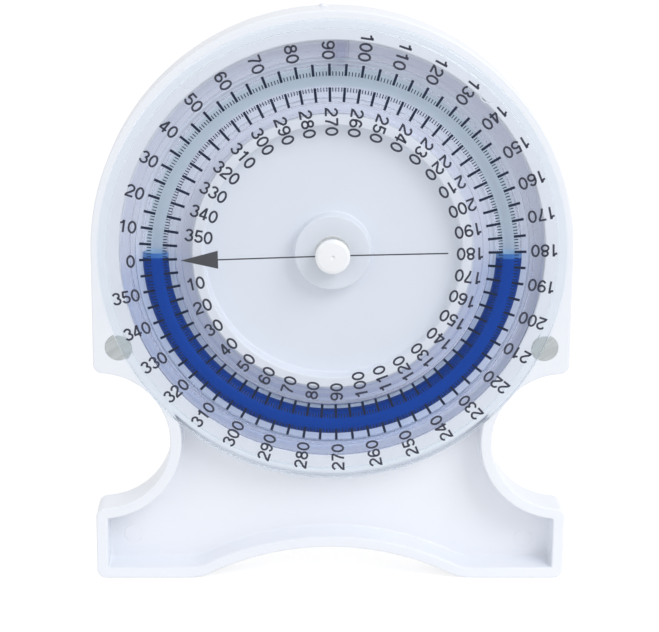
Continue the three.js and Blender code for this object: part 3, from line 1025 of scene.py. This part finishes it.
def ground_metal():
    """Fine grinding lines with a few deeper scratches."""
    made = bpy.data.node_groups.get("Ground metal")
    if made:
        return made
    tree, given, result = group_of(
        "Ground metal",
        Colour=(0.6, 0.6, 0.6),
        Shade=(0.4, 0.4, 0.4),
        Gloss=0.35,
        Line_scale=1.0,
        Line_depth=0.00001,
    )
    place = node(tree, "TexCoord")["Object"]
    grinding = (0.0, math.radians(35), 0.0)
    turned = node(tree, "Mapping", Vector=place, Rotation=grinding)["Vector"]
    hairs = noise(tree, turned, given["Line scale"], 3.0, stretch=(350.0, 350.0, 5200.0))
    cuts = noise(tree, turned, given["Line scale"], 1.0, stretch=(140.0, 140.0, 1500.0))
    tone = blended(tree, ramp(tree, cuts, 0.4, 0.62), given["Colour"], given["Shade"])
    rough = maths(tree, "ADD", given["Gloss"], maths(tree, "MULTIPLY", hairs, 0.2))
    height = maths(tree, "ADD", hairs, cuts)
    return end_group(tree, result, tone, rough, given["Line depth"], height)


def surface_of(tree, group, **values):
    """Places a shared group in a material with its own values."""
    return node(tree, "Group", settings={"node_tree": group}, **values)


def shaded(tree, surface, **inputs):
    """The material's own shader on a shared surface. inputs replace what it gives."""
    given = {
        "Base_Color": surface["Colour"],
        "Roughness": surface["Roughness"],
        "Normal": surface["Normal"],
        **inputs,
    }
    return node(tree, "BsdfPrincipled", **given)[0]


def mixed(tree, factor, first, second):
    """The first shader where the factor is zero, and the second where it is one."""
    return node(tree, "MixShader", factor, first, second)[0]


def finish_on(name, group, values, shade_tint=None, **inputs):
    """A material on a shared surface. With a tint it lets the lamps' light through."""
    material, tree = material_named(name)
    shader = shaded(tree, surface_of(tree, group, **values), **inputs)
    if shade_tint is not None:
        shader = let_light_through(tree, shader, shade_tint)
    node(tree, "OutputMaterial", Surface=shader)
    return material


def plastic(name, main, shade, gloss, coat=0.0, grain=0.000006, clouds=60.0):
    """Opaque moulded plastic."""
    values = {"Colour": main, "Shade": shade, "Gloss": gloss}
    values |= {"Grain_height": grain, "Cloud_scale": clouds}
    polish = {"IOR": 1.5, "Coat_Weight": coat, "Coat_Roughness": 0.06}
    return finish_on(name, moulded_surface(), values, **polish)


def metal(name, main, shade, gloss, lines=1.0, bare=0.9):
    """Ground or plated steel, partly dulled where it isn't bare."""
    values = {"Colour": main, "Shade": shade, "Gloss": gloss, "Line_scale": lines}
    return finish_on(name, ground_metal(), values, Metallic=bare)


def glass(name, tint, shade_tint, waves, haze=0.0, bend=CLEAR_INDEX):
    """Clear plastic, which lets the lamps' light through to what lies behind it."""
    values = {"Colour": tint, "Shade": toned(tint, 0.985), "Grain_height": waves}
    values |= {"Grain_scale": 300.0, "Cloud_scale": 45.0}
    optics = {"Metallic": 0.0, "Roughness": haze, "IOR": bend, "Transmission_Weight": 1.0}
    return finish_on(name, moulded_surface(), values, shade_tint, **optics)


def bonded(name, tint, shade_tint, waves, haze):
    """Clear plastic whose walls are bonded to others, so that they hardly mirror."""
    return glass(name, tint, shade_tint, waves, haze, BONDED_INDEX)


def let_light_through(tree, shader, tint):
    """Tints the lamps' and the walls' light on its way through, and bends only the view."""
    open_way = node(tree, "BsdfTransparent", Color=tint)[0]
    path = node(tree, "LightPath")
    for ray in ("Is Diffuse Ray", "Is Shadow Ray"):
        shader = mixed(tree, path[ray], shader, open_way)
    return shader


def dyed_liquid(colours, sizes):
    """Blue liquid with painted shade by the channel's wall and a painted highlight at its surface.
    """
    material, tree = material_named("Blue liquid")
    values = {"Colour": colours.liquid, "Shade": toned(colours.liquid, 0.86)}
    surface = surface_of(tree, moulded_surface(), Cloud_scale=80.0, **values)
    place = node(tree, "TexCoord")["Object"]
    x, y, z = node(tree, "SeparateXYZ", Vector=place)
    up = maths(tree, "SUBTRACT", z, AXIS[1])
    square = maths(tree, "ADD", maths(tree, "MULTIPLY", x, x), maths(tree, "MULTIPLY", up, up))
    off = maths(tree, "SUBTRACT", maths(tree, "SQRT", square), sizes.channel_middle)
    off = maths(tree, "ABSOLUTE", off)
    radius = sizes.channel_radius
    # Painted shade: wall is a mask that darkens the liquid towards the channel's wall
    wall = ramp(tree, off, radius * 0.45, radius * 0.95, kind="SMOOTHSTEP")
    climb = sizes.meniscus
    # Painted highlight: top and far are masks that lighten the liquid's top surface, paler towards
    # its back
    top = ramp(tree, up, -sizes.level - climb * 0.6, -sizes.level - climb * 0.3)
    depth = FRONT + sizes.channel_depth
    far = ramp(tree, y, depth - radius, depth + radius)
    tone = blended(tree, wall, surface["Colour"], colours.liquid_edge)
    highlight_tone = blended(tree, far, colours.liquid_top, colours.liquid_far)
    tone = blended(tree, top, tone, highlight_tone)
    shader = shaded(tree, surface, Base_Color=tone, IOR=LIQUID_INDEX)
    shader = let_light_through(tree, shader, colours.liquid_shade)
    node(tree, "OutputMaterial", Surface=shader)
    return material


def printed(name, main, sheen, shade_tint):
    """Thin ink with a little unevenness, which lets some of the lamps' light through."""
    values = {"Colour": main, "Shade": toned(main, 1.5), "Gloss": sheen, "Cloud_scale": 220.0}
    return finish_on(name, moulded_surface(), values, shade_tint)


def seen_ray(tree):
    """One where the camera, a mirror or glass looks at the surface, and zero elsewhere."""
    path = node(tree, "LightPath")
    either = maths(tree, "MAXIMUM", path["Is Camera Ray"], path["Is Glossy Ray"])
    return maths(tree, "MAXIMUM", either, path["Is Transmission Ray"])


# Operators


class Builder:
    """What every operator here shares."""

    bl_options = {"REGISTER", "UNDO"}

    @classmethod
    def poll(cls, context):
        return context.scene is not None


class OBJECT_OT_inclinometer_case(Builder, bpy.types.Operator):
    """Build the white moulded case and its nub"""

    bl_idname = "object.inclinometer_case"
    bl_label = "Moulded case"

    def execute(self, context):
        sizes, colours = context.scene.case_sizes, context.scene.finish_colours
        white = plastic("White plastic", colours.case, colours.case_deep, 0.34)
        case = build_case(sizes)
        new_piece("moulded_case", case, white, "case", ["body_shell"])
        new_piece("case_nub", build_nub(sizes), white, "case")
        return {"FINISHED"}


class OBJECT_OT_inclinometer_pins(Builder, bpy.types.Operator):
    """Build the two steel pins in the shoulders"""

    bl_idname = "object.inclinometer_pins"
    bl_label = "Steel pins"

    def execute(self, context):
        steel = context.scene.finish_colours.steel
        ground = metal("Ground steel", steel, toned(steel, 0.88), 0.5, bare=0.35)
        for side, name in ((-1, "left"), (1, "right")):
            pin, node_name = f"steel_pin_{name}", f"glide_pin_{name}"
            new_piece(pin, build_pin(side), ground, "case", [node_name])
        return {"FINISHED"}


class OBJECT_OT_inclinometer_dial(Builder, bpy.types.Operator):
    """Build the clear dial"""

    bl_idname = "object.inclinometer_dial"
    bl_label = "Clear dial"

    def execute(self, context):
        sizes, colours = context.scene.dial_sizes, context.scene.finish_colours
        shade = colours.clear_shade
        clear = glass("Clear plastic", colours.clear, shade, waves=0.000001)
        # Partly painted light: the bonded walls' cyan tint is the plastic's own, and also paints
        # the liquid's blue glow
        soft = bonded("Bonded wall", colours.groove, shade, waves=0.000002, haze=0.3)
        dial = build_dial(sizes)
        new_piece("clear_dial", dial, (clear, soft), "dial", ["dial_face"])
        return {"FINISHED"}


class OBJECT_OT_inclinometer_channel(Builder, bpy.types.Operator):
    """Build the ring that closes the channel, with its filling boss and plug"""

    bl_idname = "object.inclinometer_channel"
    bl_label = "Channel ring"

    def execute(self, context):
        sizes, colours = context.scene.dial_sizes, context.scene.finish_colours
        shade = colours.lilac_shade
        lilac = bonded("Channel plastic", colours.lilac, shade, waves=0.000002, haze=0.2)
        tube = bonded("Tube wall", colours.tube, shade, waves=0.000002, haze=0.2)
        blue = bonded("Pale plug", colours.plug, shade, waves=0.000004, haze=0.3)
        ring = build_channel(sizes)
        new_piece("channel_back", ring, (lilac, tube), "dial", ["channel_ring"])
        radius, outer = sizes.plug_radius, sizes.plug_outer
        start = sizes.channel_middle + sizes.channel_radius
        wall = radius + sizes.plug_wall
        boss = radial_stub(sizes, wall, start + sizes.cover, outer, sizes.edge / 2)
        new_piece("filling_boss", boss, lilac, "dial")
        plug = radial_stub(sizes, radius, start, outer, radius / 3)
        new_piece("filling_plug", plug, blue, "dial", ["fill_plug"])
        return {"FINISHED"}


class OBJECT_OT_inclinometer_liquid(Builder, bpy.types.Operator):
    """Build the blue liquid in the channel"""

    bl_idname = "object.inclinometer_liquid"
    bl_label = "Blue liquid"

    def execute(self, context):
        sizes, colours = context.scene.dial_sizes, context.scene.finish_colours
        dyed, shape = dyed_liquid(colours, sizes), build_liquid(sizes)
        replaced = ["blue_fluid"]
        new_piece("dyed_liquid", shape, dyed, "fluid", replaced, crease=60)
        return {"FINISHED"}


class OBJECT_OT_inclinometer_scales(Builder, bpy.types.Operator):
    """Print the two degree scales, the arrow and its line"""

    bl_idname = "object.inclinometer_scales"
    bl_label = "Printed scales"

    def execute(self, context):
        sizes, colours = context.scene.scale_sizes, context.scene.finish_colours
        ink = printed("Black ink", colours.ink, 0.4, colours.ink_shade)
        soft_ink = printed("Figure ink", colours.figure_ink, 0.45, colours.ink_shade)
        grey = printed("Grey ink", colours.arrow, 0.45, colours.ink_shade)
        self.print_ticks(sizes).finish("scale_ticks", ink)
        outer_figures = Print(sizes, sizes.outer_offset)
        inner_figures = Print(sizes, sizes.inner_offset)
        for degree in range(0, 360, 10):
            text = str(degree)
            start = sizes.outer_figures + len(text) * sizes.figure_step
            around = math.pi - math.radians(degree) + sizes.figure_turn
            outer_figures.figures(text, around, start)
            if degree:
                around = math.pi + math.radians(degree)
                inner_figures.figures(text, around, sizes.inner_figures)
        outer_figures.finish("outer_figures", soft_ink)
        inner_figures.finish("inner_figures", soft_ink)
        self.print_arrow(sizes).finish("arrow_and_line", grey)
        return {"FINISHED"}

    def print_ticks(self, sizes):
        """Long ticks every five degrees and short ones between, on both scales."""
        ticks = Print(sizes, sizes.tick_offset)
        for degree in range(360):
            angle = math.radians(degree)
            whole = degree % 5 == 0
            width = sizes.long_width if whole else sizes.short_width
            outer = sizes.outer_long if whole else sizes.outer_short
            inner = sizes.inner_long if whole else sizes.inner_short
            ticks.tick(angle, sizes.outer_start, outer, width)
            ticks.tick(angle, sizes.inner_start, inner, width)
        return ticks

    def print_arrow(self, sizes):
        """The arrowhead in two halves, and the thin line through the hub."""
        arrow = Print(sizes, sizes.tick_offset)
        base, low = sizes.arrow_base, -sizes.arrow_drop
        tip = arrow.spot(-sizes.arrow_tip, low)
        high, middle, bottom = (
            arrow.spot(-base, low + side * sizes.arrow_half) for side in (1, 0, -1)
        )
        arrow.shape.faces.new((tip, high, middle))
        arrow.shape.faces.new((tip, middle, bottom))
        arrow.stroke([(-base, low), (0.0, 0.0), (sizes.line_end, 0.0)], sizes.line_width)
        return arrow


class OBJECT_OT_inclinometer_hub(Builder, bpy.types.Operator):
    """Build the button and finish the bush, washers and screw under it"""

    bl_idname = "object.inclinometer_hub"
    bl_label = "Hub"

    def execute(self, context):
        sizes, colours = context.scene.hub_sizes, context.scene.finish_colours
        cap, dull, plating = colours.cap, colours.nylon, colours.plating
        polished = plastic(
            "Polished white", cap, toned(cap, 0.97), 0.16, coat=0.5, grain=0.000002, clouds=150.0
        )
        new_piece("hub_button", build_cap(sizes), polished, "case", ["hub_cap"])
        nylon = plastic(
            "Natural nylon", dull, toned(dull, 0.9), 0.55, grain=0.00001, clouds=300.0
        )
        plated = metal(
            "Plated steel", plating, toned(plating, 0.85), 0.35, lines=2.0, bare=0.3
        )
        finishes = {
            "hub_bush": nylon,
            "thrust_washer": nylon,
            "wave_washer": plated,
            "pivot_screw": plated,
        }
        for name, finish in finishes.items():
            slots = frame["nodes"][name].material_slots
            if not slots:
                raise RuntimeError(f"{name} has no material slot")
            for slot in slots:
                slot.material = finish
        return {"FINISHED"}


class OBJECT_OT_inclinometer_stage(Builder, bpy.types.Operator):
    """Set up the floor, the room, the lamps and the camera"""

    bl_idname = "object.inclinometer_stage"
    bl_label = "Stage"

    def execute(self, context):
        scene, stage = context.scene, context.scene.stage_settings
        scene.view_settings.view_transform = "Standard"
        self.light_room(scene, stage)
        self.lay_floor(scene, stage)
        self.hang_lamp(scene, "Key lamp", stage.key, stage.key_place, stage.key_size)
        self.hang_lamp(scene, "Fill lamp", stage.fill, stage.fill_place, stage.fill_size)
        self.set_camera(scene, stage)
        return {"FINISHED"}

    def light_room(self, scene, stage):
        """White to the camera, and darker in front for what gloss and glass show."""
        world = bpy.data.worlds.new("Pale room")
        world.use_nodes = True
        tree = world.node_tree
        tree.nodes.clear()
        path = node(tree, "LightPath")
        way = node(tree, "TexCoord")["Generated"]
        across = node(tree, "SeparateXYZ", Vector=way)["Y"]
        light = blended(tree, path["Is Camera Ray"], (stage.room,) * 3, (1.0, 1.0, 1.0))
        rays = {"Is Glossy Ray": stage.front_room, "Is Transmission Ray": stage.clear_room}
        for ray, front in rays.items():
            light = blended(tree, path[ray], light, ramp(tree, across, *ROOM_FRONT, front))
        sky = node(tree, "Background", Color=light, Strength=1.0)[0]
        node(tree, "OutputWorld", Surface=sky)
        scene.world = world

    def lay_floor(self, scene, stage):
        """A pale floor that is seen almost white and keeps the object's shadow."""
        shape = bmesh.new()
        front, reach = -stage.floor_front, stage.floor_reach
        corners = [(-reach, front), (reach, front), (reach, reach), (-reach, reach)]
        shape.faces.new([shape.verts.new((x, y, 0.0)) for x, y in corners])
        mesh = bpy.data.meshes.new("Pale floor")
        shape.to_mesh(mesh)
        shape.free()
        floor = bpy.data.objects.new("pale_floor", mesh)
        scene.collection.objects.link(floor)
        material, tree = material_named("Pale floor")
        values = {"Colour": stage.floor, "Shade": stage.floor_shade}
        paper = surface_of(tree, moulded_surface(), **values)
        dull = node(tree, "BsdfDiffuse", Color=paper["Colour"])[0]
        thin = node(tree, "BsdfDiffuse", Color=(stage.floor_tone,) * 3)[0]
        bright = node(tree, "Emission", Color=(1.0, 1.0, 1.0), Strength=stage.floor_glow)[0]
        lit = node(tree, "AddShader", bright, thin)[0]
        node(tree, "OutputMaterial", Surface=mixed(tree, seen_ray(tree), dull, lit))
        mesh.materials.append(material)

    def hang_lamp(self, scene, name, watts, place, size):
        """A soft square lamp, aimed at the hub."""
        lamp = bpy.data.lights.new(name, "AREA")
        lamp.energy, lamp.size = watts, size
        hung = bpy.data.objects.new(name, lamp)
        scene.collection.objects.link(hung)
        hung.location = place
        hung.rotation_euler = (hub_place - hung.location).to_track_quat("-Z", "Y").to_euler()

    def set_camera(self, scene, stage):
        """The camera, placed from the middle of the dial's front face."""
        lens = bpy.data.cameras.new("Camera")
        lens.sensor_width = 36.0
        lens.lens = stage.lens
        lens.clip_start, lens.clip_end = 0.01, 20.0
        camera = bpy.data.objects.new("Camera", lens)
        scene.collection.objects.link(camera)
        side, rise, roll = stage.azimuth, stage.elevation, stage.roll
        flat = math.cos(rise)
        ahead = Vector((-math.sin(side) * flat, math.cos(side) * flat, -math.sin(rise)))
        right = Vector((math.cos(side), math.sin(side), 0.0))
        up = right.cross(ahead)
        rolled = right * math.cos(roll) + up * math.sin(roll)
        upward = up * math.cos(roll) - right * math.sin(roll)
        turn = Matrix((rolled, upward, -ahead)).transposed().to_4x4()
        middle = Vector((AXIS[0], FRONT, AXIS[1]))
        camera.matrix_world = Matrix.Translation(middle + Vector(stage.place)) @ turn
        scene.camera = camera


class VIEW3D_PT_inclinometer(bpy.types.Panel):
    """Lists what can be built and the sizes behind it"""

    bl_idname = "VIEW3D_PT_inclinometer"
    bl_label = "Inclinometer"
    bl_space_type = "VIEW_3D"
    bl_region_type = "UI"
    bl_category = "Inclinometer"

    def draw(self, context):
        for operator in OPERATORS:
            self.layout.operator(operator.bl_idname)
        for name, kind in SETTINGS.items():
            box = self.layout.box()
            box.label(text=kind.__doc__)
            for size in kind.__annotations__:
                box.prop(getattr(context.scene, name), size)


OPERATORS = (
    OBJECT_OT_inclinometer_stage,
    OBJECT_OT_inclinometer_case,
    OBJECT_OT_inclinometer_pins,
    OBJECT_OT_inclinometer_dial,
    OBJECT_OT_inclinometer_channel,
    OBJECT_OT_inclinometer_liquid,
    OBJECT_OT_inclinometer_scales,
    OBJECT_OT_inclinometer_hub,
)
SETTINGS = {
    "case_sizes": CaseSizes,
    "dial_sizes": DialSizes,
    "scale_sizes": ScaleSizes,
    "hub_sizes": HubSizes,
    "finish_colours": FinishColours,
    "stage_settings": StageSettings,
}


def register():
    """Adds the operators, the panel and the settings."""
    for kind in (*SETTINGS.values(), *OPERATORS, VIEW3D_PT_inclinometer):
        bpy.utils.register_class(kind)
    for name, kind in SETTINGS.items():
        setattr(bpy.types.Scene, name, PointerProperty(type=kind))


def unregister():
    """Takes them away again."""
    for name in SETTINGS:
        delattr(bpy.types.Scene, name)
    for kind in reversed((*SETTINGS.values(), *OPERATORS, VIEW3D_PT_inclinometer)):
        bpy.utils.unregister_class(kind)


def main():
    """Builds the whole object on its stage."""
    register()
    for operator in OPERATORS:
        group, name = operator.bl_idname.split(".")
        getattr(getattr(bpy.ops, group), name)()
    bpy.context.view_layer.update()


if __name__ == "__main__":
    main()
